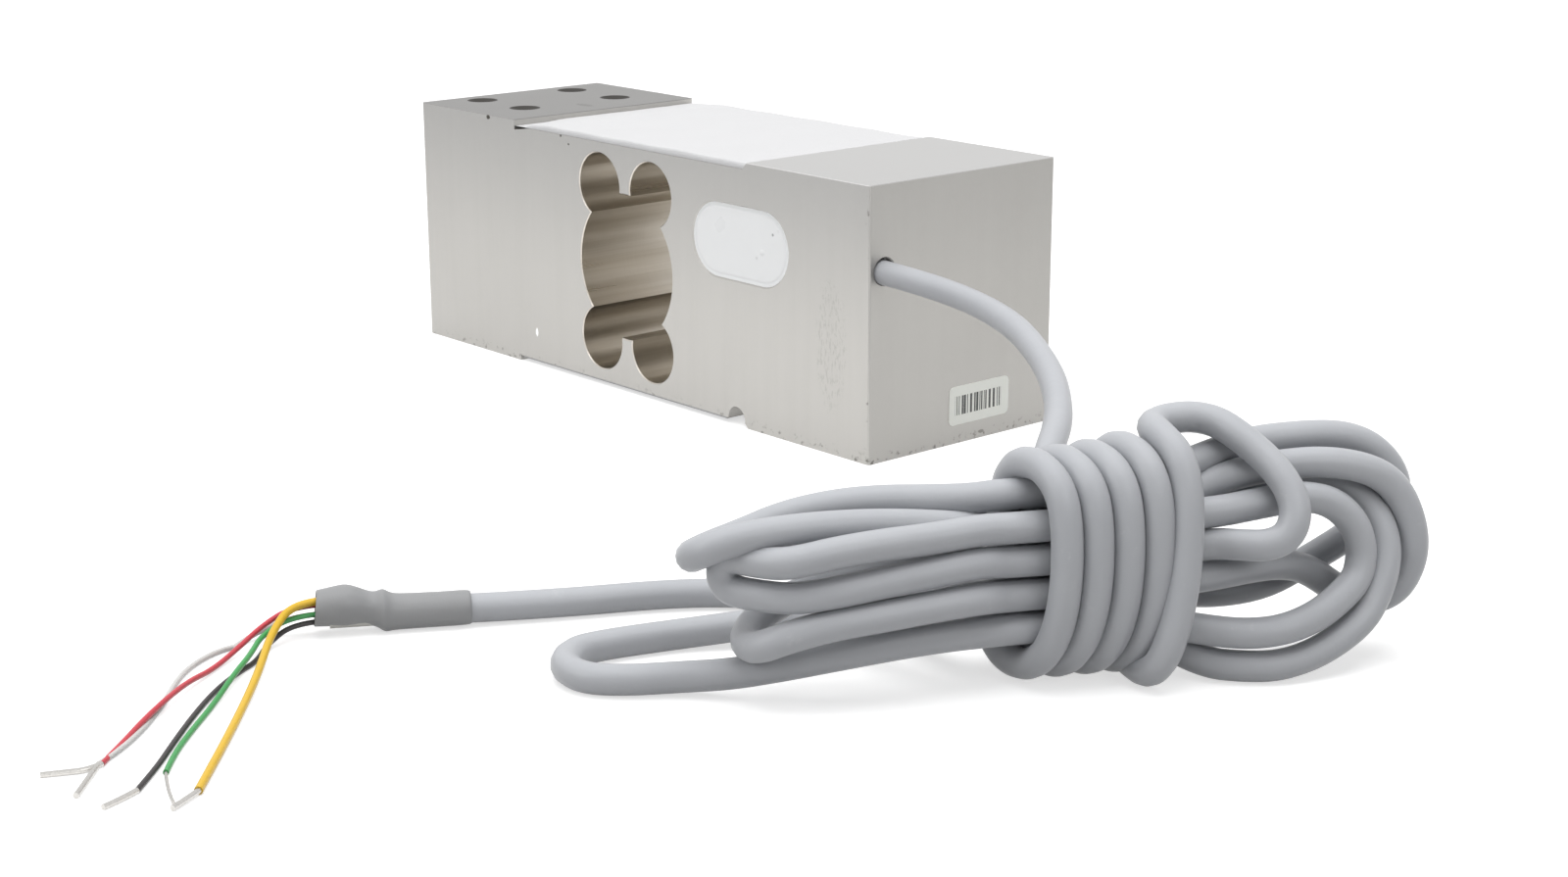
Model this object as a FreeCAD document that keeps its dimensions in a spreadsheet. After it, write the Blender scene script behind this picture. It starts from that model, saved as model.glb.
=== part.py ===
import FreeCAD
import Part
import Sketcher
import math
import os

# Single point load cell: a machined aluminium bar with its gauges, sealants and trimming board, and
# the cable that leaves its end face and lies beside it as a wrapped hank. Millimetres: +X towards
# the cable end, -Y the face with the potted pocket, +Z up, origin at the middle of the underside.

Vector = FreeCAD.Vector
doc = FreeCAD.newDocument("load_cell")

# ------------------------------------------------------------------ driving dimensions

SIZES = {
    "block_length": 191.0, "block_width": 64.0, "block_height": 69.0, "edge_break": 0.4,
    "hole_pad_length": 46.0, "cable_pad_length": 45.2,
    "top_relief_depth": 1.8, "bottom_relief_depth": 1.5, "dip_length": 7.0, "dip_depth": 1.0,
    "channel_radius": 3.25, "channel_depth": 3.5, "channel_inset": 4.5, "channel_end_wall": 2.0,
    "main_bore_radius": 19.8, "web_bore_radius": 8.75, "web_bore_along": 11.0,
    "upper_web": 2.95, "lower_web": 3.25,
    "pocket_along": 47.3, "pocket_down": 21.1, "pocket_length": 37.1, "pocket_height": 19.4,
    "bore_break": 0.3, "pocket_depth": 15.0, "potting_sink": 0.35, "wire_hole_radius": 1.5, "wire_hole_inset": 8.0,
    "tap_drill": 6.8, "thread_mouth": 9.0, "thread_depth": 20.0, "thread_group_inset": 18.7,
    "thread_pitch_along": 21.2, "thread_pitch_across": 32.6,
    "cable_diameter": 6.0, "cable_bore": 6.6, "cable_inset": 4.9, "cable_down": 21.3,
    "jacket_in_pocket": 3.5, "bore_sealant_setback": 2.0,
    "gauge_length": 9.0, "gauge_width": 7.0, "gauge_thickness": 0.12,
    "terminal_along": 26.0, "terminal_length": 5.0, "terminal_width": 10.0,
    "terminal_thickness": 0.2, "gauge_wire": 0.3, "sealant_thickness": 0.5, "sealant_margin": 0.3,
    "board_length": 26.0, "board_height": 11.0, "board_thickness": 1.6, "board_setback": 7.0,
    "resistor_length": 5.0, "resistor_height": 2.2, "resistor_thickness": 1.2,
    "resistor_pitch": 9.0, "core_diameter": 1.1,
    "label_length": 21.3, "label_height": 10.0, "label_thickness": 0.12, "label_corner": 1.5,
    "label_across": 6.2, "label_up": 9.8,
    "sleeve_length": 31.0, "sleeve_wall": 0.45, "sleeve_bulge": 4.2, "bundle_start": 11.5,
    "bundle_end": 28.0, "lead_diameter": 1.1, "screen_diameter": 1.6, "tinned_diameter": 0.5,
}

sheet = doc.addObject("Spreadsheet::Sheet", "Sizes")
for row, (alias, number) in enumerate(SIZES.items(), start=1):
    sheet.set("A%d" % row, alias)
    sheet.set("B%d" % row, str(number))
    sheet.setAlias("B%d" % row, alias)
doc.recompute()

# ------------------------------------------------------------------ helpers


def value(text):
    """The number that an expression in the sheet's sizes gives."""
    return float(sheet.evalExpression(text))


def new_body(label):
    return doc.addObject("PartDesign::Body", label)


def new_sketch(body, plane, offset="0"):
    """A sketch on one of the body's own origin planes, moved along the plane's normal."""
    sketch = body.newObject("Sketcher::SketchObject", body.Label + "_sketch")
    face = [item for item in body.Origin.OriginFeatures if item.Role == plane][0]
    sketch.AttachmentSupport = [(face, "")]
    sketch.MapMode = "FlatFace"
    sketch.setExpression("AttachmentOffset.Base.z", offset)
    return sketch


def hold(sketch, kind, where, text):
    """A driving constraint whose value is an expression."""
    number = sketch.addConstraint(Sketcher.Constraint(kind, *where, value(text)))
    name = "hold%d" % number
    sketch.renameConstraint(number, name)
    sketch.setExpression("Constraints." + name, text)


def hold_point(sketch, item, point, across, up):
    hold(sketch, "DistanceX", (-1, 1, item, point), across)
    hold(sketch, "DistanceY", (-1, 1, item, point), up)


def add_circle(sketch, across, up, radius):
    centre = Vector(value(across), value(up), 0)
    item = sketch.addGeometry(Part.Circle(centre, Vector(0, 0, 1), value(radius)), False)
    hold_point(sketch, item, 3, across, up)
    hold(sketch, "Radius", (item,), radius)


def add_polygon(sketch, corners):
    """A closed outline of straight lines with every corner held by its two coordinates."""
    points = [Vector(value(across), value(up), 0) for across, up in corners]
    lines = [sketch.addGeometry(Part.LineSegment(start, end), False)
             for start, end in zip(points, points[1:] + points[:1])]
    for line, (across, up), after in zip(lines, corners, lines[1:] + lines[:1]):
        sketch.addConstraint(Sketcher.Constraint("Coincident", line, 2, after, 1))
        hold_point(sketch, line, 1, across, up)


def add_rectangle(sketch, left, right, low, high):
    add_polygon(sketch, [(left, low), (right, low), (right, high), (left, high)])


def add_slot(sketch, across, up, length, height):
    """A lying slot with round ends: two arcs joined by tangent lines."""
    radius = "%s / 2" % height
    reach = "(%s - %s) / 2" % (length, height)
    x, y, r, half = value(across), value(up), value(radius), value(reach)
    flat = Vector(0, 0, 1)
    right = sketch.addGeometry(
        Part.ArcOfCircle(Part.Circle(Vector(x + half, y, 0), flat, r), -math.pi / 2, math.pi / 2), False)
    left = sketch.addGeometry(
        Part.ArcOfCircle(Part.Circle(Vector(x - half, y, 0), flat, r), math.pi / 2, 1.5 * math.pi), False)
    top = sketch.addGeometry(Part.LineSegment(Vector(x + half, y + r, 0), Vector(x - half, y + r, 0)), False)
    low = sketch.addGeometry(Part.LineSegment(Vector(x - half, y - r, 0), Vector(x + half, y - r, 0)), False)
    for ends in ((right, 2, top, 1), (top, 2, left, 1), (left, 2, low, 1), (low, 2, right, 1)):
        sketch.addConstraint(Sketcher.Constraint("Tangent", *ends))
    sketch.addConstraint(Sketcher.Constraint("Equal", right, left))
    hold_point(sketch, right, 3, "%s + %s" % (across, reach), up)
    hold(sketch, "DistanceX", (left, 3, right, 3), "2 * " + reach)
    sketch.addConstraint(Sketcher.Constraint("Horizontal", top))
    hold(sketch, "Radius", (right,), radius)


def extrude(body, sketch, kind, length=None, both_ways=False, backwards=False):
    """A Pad or a Pocket of a sketch; with no length it goes through everything."""
    feature = body.newObject("PartDesign::" + kind, body.Label + "_" + kind.lower())
    feature.Profile = sketch
    feature.SideType = "Symmetric" if both_ways else "One side"
    feature.Reversed = backwards
    if length is None:
        feature.Type = "ThroughAll"
    else:
        feature.setExpression("Length", length)
    doc.recompute()
    return feature


def cut(body, sketch, **how):
    """A Pocket that is known to take material away."""
    before = body.Shape.Volume
    feature = extrude(body, sketch, "Pocket", **how)
    if body.Shape.Volume > before - 0.01:
        raise RuntimeError(sketch.Name + " cuts nothing")
    return feature


def edges_along(feature, axis, chosen=lambda edge: True):
    """The names of a feature's straight edges along one axis."""
    return ["Edge%d" % number for number, edge in enumerate(feature.Shape.Edges, start=1)
            if isinstance(edge.Curve, Part.Line)
            and abs(abs(edge.Curve.Direction.dot(axis)) - 1) < 1e-6 and chosen(edge)]


def round_edges(feature, radii, chosen):
    """The names of a feature's round edges of some radii whose bounding boxes pass a test."""
    return ["Edge%d" % number for number, edge in enumerate(feature.Shape.Edges, start=1)
            if isinstance(edge.Curve, Part.Circle)
            and min(abs(edge.Curve.Radius - radius) for radius in radii) < 1e-6
            and chosen(edge.BoundBox)]


def dress(body, kind, base, names, size_name, text):
    """A Fillet or Chamfer on named edges of the body's last feature."""
    feature = body.newObject("PartDesign::" + kind, body.Label + "_" + kind.lower())
    feature.Base = (base, names)
    feature.setExpression(size_name, text)
    doc.recompute()
    return feature


def new_box(label, length, width, height, left, front, low):
    box = doc.addObject("Part::Box", label)
    for name, text in (("Length", length), ("Width", width), ("Height", height),
                       ("Placement.Base.x", left), ("Placement.Base.y", front), ("Placement.Base.z", low)):
        box.setExpression(name, text)
    return box


def hollowed(label, base, tools):
    """The base with every tool cut out of it."""
    gathered = doc.addObject("Part::MultiFuse", label + "_tools")
    gathered.Shapes = tools
    result = doc.addObject("Part::Cut", label)
    result.Base = base
    result.Tool = gathered
    doc.recompute()
    return result


# ------------------------------------------------------------------ machined body

LEFT = "-Sizes.block_length / 2"
RIGHT = "Sizes.block_length / 2"
FRONT = "-Sizes.block_width / 2"
TOP = "Sizes.block_height"
RELIEF_START = LEFT + " + Sizes.hole_pad_length"
RELIEF_END = RIGHT + " - Sizes.cable_pad_length"
TOP_FLOOR = TOP + " - Sizes.top_relief_depth"
CHANNEL = RELIEF_END + " - Sizes.channel_inset"
BOLTS_LEFT = LEFT + " + Sizes.thread_group_inset"
BOLTS_RIGHT = RIGHT + " - Sizes.thread_group_inset"
CABLE_ACROSS = FRONT + " + Sizes.cable_inset"
CABLE_UP = TOP + " - Sizes.cable_down"
POCKET_UP = TOP + " - Sizes.pocket_down"
POCKET_END = "Sizes.pocket_along + Sizes.pocket_length / 2"
UPPER_BORES = TOP_FLOOR + " - Sizes.upper_web - Sizes.web_bore_radius"
LOWER_BORES = "Sizes.bottom_relief_depth + Sizes.lower_web + Sizes.web_bore_radius"


def thread_holes(body, middle, plane_height, backwards):
    """Four drilled and countersunk holes at the corners of the bolt rectangle."""
    sketch = new_sketch(body, "XY_Plane", plane_height)
    for along in ("-", "+"):
        for across in ("-", ""):
            add_circle(sketch, "%s %s Sizes.thread_pitch_along / 2" % (middle, along),
                       across + "Sizes.thread_pitch_across / 2", "Sizes.tap_drill / 2")
    doc.recompute()
    before = body.Shape.Volume
    hole = body.newObject("PartDesign::Hole", body.Label + "_threads")
    hole.Profile = sketch
    hole.Reversed = backwards
    hole.Threaded = False
    hole.DepthType = "Dimension"
    hole.DrillPoint = "Angled"
    hole.HoleCutType = "Countersink"
    hole.HoleCutCountersinkAngle = 90
    hole.setExpression("Diameter", "Sizes.tap_drill")
    hole.setExpression("HoleCutDiameter", "Sizes.thread_mouth")
    hole.setExpression("Depth", "Sizes.thread_depth")
    doc.recompute()
    if body.Shape.Volume > before - 100:
        raise RuntimeError("the threaded holes cut nothing")


def make_body():
    body = new_body("load_cell_body")
    outline = new_sketch(body, "XZ_Plane")
    add_rectangle(outline, LEFT, RIGHT, "0", TOP)
    blank = extrude(body, outline, "Pad", "Sizes.block_width", both_ways=True)
    corners = edges_along(blank, Vector(0, 0, 1))
    dress(body, "Chamfer", blank, corners, "Size", "Sizes.edge_break")

    # The shallow reliefs over the webs: the top one dips beside the bolted pad, and both end in a
    # 45 degree ramp beside the cable pad, next to a half-round wiring channel. The lower channel is
    # open at both ends, and the upper one stops short of the faces.
    relief = new_sketch(body, "XZ_Plane")
    add_polygon(relief, [
        (RELIEF_START, TOP_FLOOR + " - Sizes.dip_depth"),
        (RELIEF_START + " + Sizes.dip_length", TOP_FLOOR),
        (RELIEF_END + " - Sizes.top_relief_depth", TOP_FLOOR),
        (RELIEF_END, TOP), (RELIEF_END, TOP + " + 1"), (RELIEF_START, TOP + " + 1")])
    cut(body, relief, both_ways=True)
    relief = new_sketch(body, "XZ_Plane")
    add_polygon(relief, [
        (RELIEF_START, "-1"), (RELIEF_END, "-1"), (RELIEF_END, "0"),
        (RELIEF_END + " - Sizes.bottom_relief_depth", "Sizes.bottom_relief_depth"),
        (RELIEF_START, "Sizes.bottom_relief_depth")])
    cut(body, relief, both_ways=True)
    depth = "Sizes.channel_depth - Sizes.channel_radius"
    upper = new_sketch(body, "XZ_Plane")
    add_circle(upper, CHANNEL, TOP_FLOOR + " - (%s)" % depth, "Sizes.channel_radius")
    cut(body, upper, length="Sizes.block_width - 2 * Sizes.channel_end_wall", both_ways=True)
    lower = new_sketch(body, "XZ_Plane")
    add_circle(lower, CHANNEL, "Sizes.bottom_relief_depth + " + depth, "Sizes.channel_radius")
    cut(body, lower, both_ways=True)

    # The five-hole flexure: one wide bore that opens into four smaller ones, which leave the webs.
    wide = new_sketch(body, "XZ_Plane")
    add_circle(wide, "0", "(%s + %s) / 2" % (UPPER_BORES, LOWER_BORES), "Sizes.main_bore_radius")
    cut(body, wide, both_ways=True)
    small = new_sketch(body, "XZ_Plane")
    for side in ("-", ""):
        for level in (UPPER_BORES, LOWER_BORES):
            add_circle(small, side + "Sizes.web_bore_along", level, "Sizes.web_bore_radius")
    bored = cut(body, small, both_ways=True)
    face = value("Sizes.block_width / 2")
    radii = [value("Sizes.main_bore_radius"), value("Sizes.web_bore_radius")]
    mouths = round_edges(bored, radii, lambda box: box.YMin > face - 0.01 or box.YMax < 0.01 - face)
    dress(body, "Chamfer", bored, mouths, "Size", "Sizes.bore_break")

    # The potted pocket in the front face, its two wire holes and the cable's bore.
    pocket = new_sketch(body, "XZ_Plane", "Sizes.block_width / 2")
    add_slot(pocket, "Sizes.pocket_along", POCKET_UP, "Sizes.pocket_length", "Sizes.pocket_height")
    hollow = cut(body, pocket, length="Sizes.pocket_depth")
    mouth = round_edges(hollow, [value("Sizes.pocket_height / 2")], lambda box: box.YMax < 0.01 - face)
    dress(body, "Chamfer", hollow, mouth, "Size", "Sizes.bore_break")
    wires = new_sketch(body, "XY_Plane", POCKET_UP)
    add_circle(wires, CHANNEL, FRONT + " + Sizes.wire_hole_inset", "Sizes.wire_hole_radius")
    cut(body, wires, both_ways=True)
    bore = new_sketch(body, "YZ_Plane", RIGHT)
    add_circle(bore, CABLE_ACROSS, CABLE_UP, "Sizes.cable_bore / 2")
    drilled = cut(body, bore, length=RIGHT + " - (%s) + Sizes.pocket_height / 2" % POCKET_END)
    mouth = round_edges(drilled, [value("Sizes.cable_bore / 2")], lambda box: box.XMin > value(RIGHT) - 0.01)
    dress(body, "Chamfer", drilled, mouth, "Size", "Sizes.bore_break")

    thread_holes(body, BOLTS_LEFT, TOP, False)
    thread_holes(body, BOLTS_RIGHT, "0", True)
    return body


# ------------------------------------------------------------------ round tubes along a route


def tube_path(points):
    """Straight runs joined by tangent arcs, each as wide as the shorter run beside it allows."""
    edges = []
    radii = []
    here = points[0]
    for before, corner, after in zip(points, points[1:], points[2:]):
        into = (corner - before).normalize()
        away = (after - corner).normalize()
        turn = into.getAngle(away)
        reach = 0.45 * min(corner.distanceToPoint(before), corner.distanceToPoint(after))
        radius = reach / math.tan(turn / 2)
        start = corner - into * reach
        end = corner + away * reach
        bend = (away - into).normalize()
        middle = corner + bend * (radius / math.cos(turn / 2) - radius)
        edges.append(Part.LineSegment(here, start).toShape())
        edges.append(Part.Arc(start, middle, end).toShape())
        radii.append(radius)
        here = end
    edges.append(Part.LineSegment(here, points[-1]).toShape())
    return Part.Wire(edges), radii


def tube(name, points, diameter):
    """A solid round tube along a route; its volume must be its section times its length."""
    points = [Vector(*point) for point in points]
    path, radii = tube_path(points)
    ring = Part.Circle(points[0], points[1] - points[0], diameter / 2).toShape()
    solid = path.makePipeShell([Part.Wire(ring)], True, False)
    if solid.Volume < 0:
        solid.reverse()
    section = math.pi * diameter ** 2 / 4
    ratio = solid.Volume / (section * path.Length)
    print("%s: %.1f long, smallest radius %.1f, volume ratio %.4f" % (name, path.Length, min(radii), ratio))
    if abs(ratio - 1) > 0.01:
        raise RuntimeError(name + " is not a clean tube")
    return solid


def new_feature(label, shape):
    feature = doc.addObject("Part::Feature", label)
    feature.Shape = shape
    return feature


# ------------------------------------------------------------------ gauges, terminals and wires


def make_gauges():
    """Four foil gauges, one over each thin web: two on the top floor and two underneath."""
    gauges = []
    for side, sign in (("left", "-"), ("right", "")):
        for level, low in (("top", TOP_FLOOR), ("bottom", "Sizes.bottom_relief_depth - Sizes.gauge_thickness")):
            gauges.append(new_box(
                "strain_gauge_%s_%s" % (level, side), "Sizes.gauge_length", "Sizes.gauge_width",
                "Sizes.gauge_thickness", sign + "Sizes.web_bore_along - Sizes.gauge_length / 2",
                "-Sizes.gauge_width / 2", low))
    return gauges


def make_terminals():
    strips = []
    for level, low in (("top", TOP_FLOOR), ("bottom", "Sizes.bottom_relief_depth - Sizes.terminal_thickness")):
        strips.append(new_box(
            "gauge_terminals_" + level, "Sizes.terminal_length", "Sizes.terminal_width",
            "Sizes.terminal_thickness", "Sizes.terminal_along", "-Sizes.terminal_width / 2", low))
    return strips


def make_gauge_wires():
    """A thin bundle of enamelled wires from each terminal strip through the wire hole to the board."""
    along = value(CHANNEL)
    across = value(FRONT + " + Sizes.wire_hole_inset")
    start = value("Sizes.terminal_along + Sizes.terminal_length")
    thick = value("Sizes.gauge_wire")
    board_middle = value(POCKET_UP)
    half_board = value("Sizes.board_height / 2")
    wires = []
    for level, floor, way in (("top", value(TOP_FLOOR), 1), ("bottom", value("Sizes.bottom_relief_depth"), -1)):
        height = floor + way * (thick / 2 + 0.01)
        route = [(start, 0.0, height), (start + 3, -1.5, height), (along - 7, across + 6, height),
                 (along - 0.9, across + 0.9, height), (along, across, height - way * 5),
                 (along, across, board_middle + way * half_board)]
        wires.append(new_feature("gauge_wires_" + level, tube("gauge_wires_" + level, route, thick)))
    return wires


# ------------------------------------------------------------------ pocket contents


def make_board():
    front = FRONT + " + Sizes.board_setback"
    board = new_box("trimming_board", "Sizes.board_length", "Sizes.board_thickness", "Sizes.board_height",
                    "Sizes.pocket_along - Sizes.board_length / 2", front,
                    POCKET_UP + " - Sizes.board_height / 2")
    resistors = []
    for number, step in enumerate(("-1", "0"), start=1):
        resistors.append(new_box(
            "trimming_resistor_%d" % number, "Sizes.resistor_length", "Sizes.resistor_thickness",
            "Sizes.resistor_height", "Sizes.pocket_along - 2 + (%s) * Sizes.resistor_pitch" % step,
            front + " - Sizes.resistor_thickness", POCKET_UP + " - Sizes.resistor_height / 2"))
    return [board] + resistors


def make_cores():
    """The four stripped cores, from the jacket's end to the face of the board."""
    jacket_end = value(POCKET_END + " - Sizes.jacket_in_pocket")
    across = value(CABLE_ACROSS)
    up = value(CABLE_UP)
    board_face = value(FRONT + " + Sizes.board_setback")
    thick = value("Sizes.core_diameter")
    spread = 0.9
    cores = []
    for number, colour in enumerate(("red", "white", "black", "green")):
        sideways = spread if number in (1, 2) else -spread
        level = spread if number > 1 else -spread
        pad = up - 3.4 + number * 2.3
        route = [(jacket_end, across + sideways, up + level),
                 (jacket_end - 1.8, across + sideways, up + level),
                 (jacket_end - 4.5, across - 0.3, pad), (jacket_end - 4.5, board_face, pad)]
        cores.append(new_feature("core_" + colour, tube("core_" + colour, route, thick)))
    return cores


def make_potting(enclosed):
    blank = new_body("potting_blank")
    sketch = new_sketch(blank, "XZ_Plane", "Sizes.block_width / 2 - Sizes.potting_sink")
    add_slot(sketch, "Sizes.pocket_along", POCKET_UP, "Sizes.pocket_length", "Sizes.pocket_height")
    extrude(blank, sketch, "Pad", "Sizes.pocket_depth - Sizes.potting_sink", backwards=True)
    return hollowed("pocket_potting", blank, enclosed)


def make_top_sealant(body, enclosed):
    """White silicone over the top relief: it fills the channel and the dip and covers the ramp."""
    blank = new_body("top_sealant_blank")
    sketch = new_sketch(blank, "XZ_Plane")
    surface = TOP_FLOOR + " + Sizes.sealant_thickness"
    dip = TOP_FLOOR + " - Sizes.dip_depth"
    deep = TOP_FLOOR + " - Sizes.channel_depth"
    channel_left = CHANNEL + " - Sizes.channel_radius - 0.5"
    channel_right = CHANNEL + " + Sizes.channel_radius + 0.5"
    add_polygon(sketch, [
        (RELIEF_START, dip), (channel_left, dip), (channel_left, deep), (channel_right, deep),
        (channel_right, TOP_FLOOR), (RELIEF_END, TOP_FLOOR), (RELIEF_END, TOP + " - 0.1"),
        (RELIEF_END + " - Sizes.top_relief_depth", surface),
        (RELIEF_START + " + Sizes.dip_length", surface), (RELIEF_START, surface + " - Sizes.dip_depth")])
    extrude(blank, sketch, "Pad", "Sizes.block_width - 2 * Sizes.sealant_margin", both_ways=True)
    return hollowed("top_sealant", blank, [body] + enclosed)


def make_bottom_sealant(enclosed):
    """The thinner layer over the bottom relief; it stops short of the open channel."""
    end = CHANNEL + " - Sizes.channel_radius - 1"
    blank = new_box("bottom_sealant_blank", "%s - (%s) - 1" % (end, RELIEF_START),
                    "Sizes.block_width - 2 * Sizes.sealant_margin", "Sizes.sealant_thickness",
                    RELIEF_START + " + 1", FRONT + " + Sizes.sealant_margin",
                    "Sizes.bottom_relief_depth - Sizes.sealant_thickness")
    return hollowed("bottom_sealant", blank, enclosed)


def make_bore_sealant():
    """A thin ring of sealant between the cable's jacket and its bore."""
    start = POCKET_END + " + 0.2"
    length = RIGHT + " - (%s) - Sizes.bore_sealant_setback" % start
    rings = []
    for name, radius in (("outer", "Sizes.cable_bore / 2"), ("inner", "Sizes.cable_diameter / 2")):
        ring = doc.addObject("Part::Cylinder", "bore_ring_" + name)
        ring.setExpression("Radius", radius)
        ring.setExpression("Height", length)
        ring.Placement.Rotation = FreeCAD.Rotation(Vector(0, 1, 0), 90)
        ring.setExpression("Placement.Base.x", start)
        ring.setExpression("Placement.Base.y", CABLE_ACROSS)
        ring.setExpression("Placement.Base.z", CABLE_UP)
        rings.append(ring)
    sealant = doc.addObject("Part::Cut", "bore_sealant")
    sealant.Base, sealant.Tool = rings
    return sealant


def make_label():
    label = new_body("end_label")
    sketch = new_sketch(label, "YZ_Plane", RIGHT)
    add_rectangle(sketch, "Sizes.label_across - Sizes.label_length / 2",
                  "Sizes.label_across + Sizes.label_length / 2",
                  "Sizes.label_up - Sizes.label_height / 2", "Sizes.label_up + Sizes.label_height / 2")
    plate = extrude(label, sketch, "Pad", "Sizes.label_thickness")
    dress(label, "Fillet", plate, edges_along(plate, Vector(1, 0, 0)), "Radius", "Sizes.label_corner")
    return label


# ------------------------------------------------------------------ cable

# The hank has a frame of its own: its middle on the floor, its run at 62 degrees to +X, and its
# front side to the right of that run.
HANK_MIDDLE = Vector(224.6, -102.0, 0)
HANK_ANGLE = 62.0
HANK = FreeCAD.Placement(HANK_MIDDLE, FreeCAD.Rotation(Vector(0, 0, 1), HANK_ANGLE))


def in_hank(along, front, up):
    """A point given along the hank, towards its front and up."""
    point = HANK.multVec(Vector(along, -front, up))
    return (point.x, point.y, point.z)


def rounded_section(along, middle, half_width, low, high):
    """An upright rectangle with round corners across the hank, as a wire."""
    radius = 0.8 * min(half_width, (high - low) / 2)
    box = [(middle - half_width, low), (middle + half_width, low),
           (middle + half_width, high), (middle - half_width, high)]
    corners = [Vector(*in_hank(along, *corner)) for corner in box]
    edges = []
    for before, corner, after in zip(corners[-1:] + corners[:-1], corners, corners[1:] + corners[:1]):
        into = (corner - before).normalize()
        away = (after - corner).normalize()
        bend = (away - into) * (radius * (1 - math.sqrt(0.5)))
        arc = Part.Arc(corner - into * radius, corner + bend, corner + away * radius)
        if edges:
            edges.append(Part.LineSegment(edges[-1].Vertexes[-1].Point, arc.StartPoint).toShape())
        edges.append(arc.toShape())
    edges.append(Part.LineSegment(edges[-1].Vertexes[-1].Point, edges[0].Vertexes[0].Point).toShape())
    return Part.Wire(edges)


def make_hank():
    """The outer shape of the bundled loops, with the band of five turns wrapped round it."""
    sections = [
        (-75, 0, 6, 22, 34), (-66, 0, 9.5, 14, 37), (-52, 0, 10, 11, 39), (-32, 0, 9, 11, 41),
        (0, 0, 8.5, 8, 41), (20, 0, 10, 6, 42), (40, 0, 13, 1, 46), (58, 1, 13, 0, 45),
        (68, 2, 10, 6, 38), (75, 2, 6, 14, 30)]
    bundle = Part.makeLoft([rounded_section(*section) for section in sections], True, True)
    face = Part.Face(rounded_section(-17, 0, 13, 0, 47.5))
    run = Vector(*in_hank(17, 0, 0)) - Vector(*in_hank(-17, 0, 0))
    return new_feature("cable_hank", bundle.fuse(face.extrude(run)).removeSplitter())


def make_lead(hank):
    """The cable's first stretch: from inside the pocket, out of the bore and down to the hank."""
    across = value(CABLE_ACROSS)
    up = value(CABLE_UP)
    start = value(POCKET_END + " - Sizes.jacket_in_pocket")
    exit_face = value(RIGHT)
    route = [(start, across, up), (exit_face + 6.0, across, up), (137.0, -29.5, 45.0),
             (165.0, -44.0, 40.5), (187.0, -63.5, 37.0), (200.0, -82.0, 34.0), in_hank(-3, -11, 24)]
    return trimmed("cable_lead", route, hank)


def make_low_loop(hank):
    """The loop of the hank that reaches furthest and lies on the floor."""
    route = [in_hank(-14, 4, 9.5), in_hank(-34, 2, 6), in_hank(-54, -2, 3.3), in_hank(-72, -5, 3.1),
             in_hank(-89, -8, 3), in_hank(-98, -17, 3), in_hank(-95, -28, 3), in_hank(-84, -34.5, 3),
             in_hank(-68, -36, 3.1), in_hank(-50, -31, 5), in_hank(-32, -18, 11), in_hank(-14, -8, 16.7)]
    return trimmed("cable_low_loop", route, hank)


# The sleeve's own frame: its axis runs from the cable side of the sleeve to the side of the leads.
SLEEVE_START = Vector(125.8, -169.6, 4.2)
SLEEVE_ANGLE = -120.3
SLEEVE = FreeCAD.Placement(SLEEVE_START, FreeCAD.Rotation(Vector(0, 0, 1), SLEEVE_ANGLE))


def in_sleeve(along, sideways=0.0, up=0.0):
    point = SLEEVE.multVec(Vector(along, sideways, up))
    return (point.x, point.y, point.z)


def make_tail(hank):
    """The cable's last stretch: out of the back of the hank, along the floor into the sleeve."""
    route = [in_hank(-12, -6, 10), in_hank(-26, -24, 4.2), in_hank(-40, -46, 3.2),
             in_hank(-58, -56, 3.1), in_sleeve(-12), in_sleeve(value("Sizes.bundle_start"))]
    return trimmed("cable_tail", route, hank)


def trimmed(name, route, hank):
    """A stretch of cable that stops at the surface of the hank."""
    whole = tube(name, route, value("Sizes.cable_diameter"))
    return new_feature(name, whole.cut(hank.Shape))


def make_sleeve():
    """Heat-shrink sleeve: tight on the jacket, bulging over the stripped end, then narrow again."""
    sleeve = new_body("heat_shrink_sleeve")
    sketch = new_sketch(sleeve, "XZ_Plane")
    bore = "Sizes.cable_diameter / 2"
    tight = bore + " + Sizes.sleeve_wall"
    length = "Sizes.sleeve_length"
    add_polygon(sketch, [
        ("0", bore), (length, bore), (length, tight + " - 0.1"), (length + " - 4", tight),
        (length + " - 7", "Sizes.sleeve_bulge - 0.2"), (length + " - 11", "Sizes.sleeve_bulge"),
        (length + " - 14", "Sizes.sleeve_bulge - 0.3"), (length + " - 16", tight), ("0", tight)])
    turn = sleeve.newObject("PartDesign::Revolution", "sleeve_turn")
    turn.Profile = sketch
    turn.ReferenceAxis = (sketch, ["H_Axis"])
    turn.Angle = 360
    sleeve.Placement = SLEEVE
    bundle = doc.addObject("Part::Cylinder", "core_bundle")
    bundle.setExpression("Radius", bore)
    bundle.setExpression("Height", "Sizes.bundle_end - Sizes.bundle_start")
    bundle.Placement = SLEEVE * FreeCAD.Placement(
        Vector(value("Sizes.bundle_start"), 0, 0), FreeCAD.Rotation(Vector(0, 1, 0), 90))
    return [sleeve, bundle]


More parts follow.
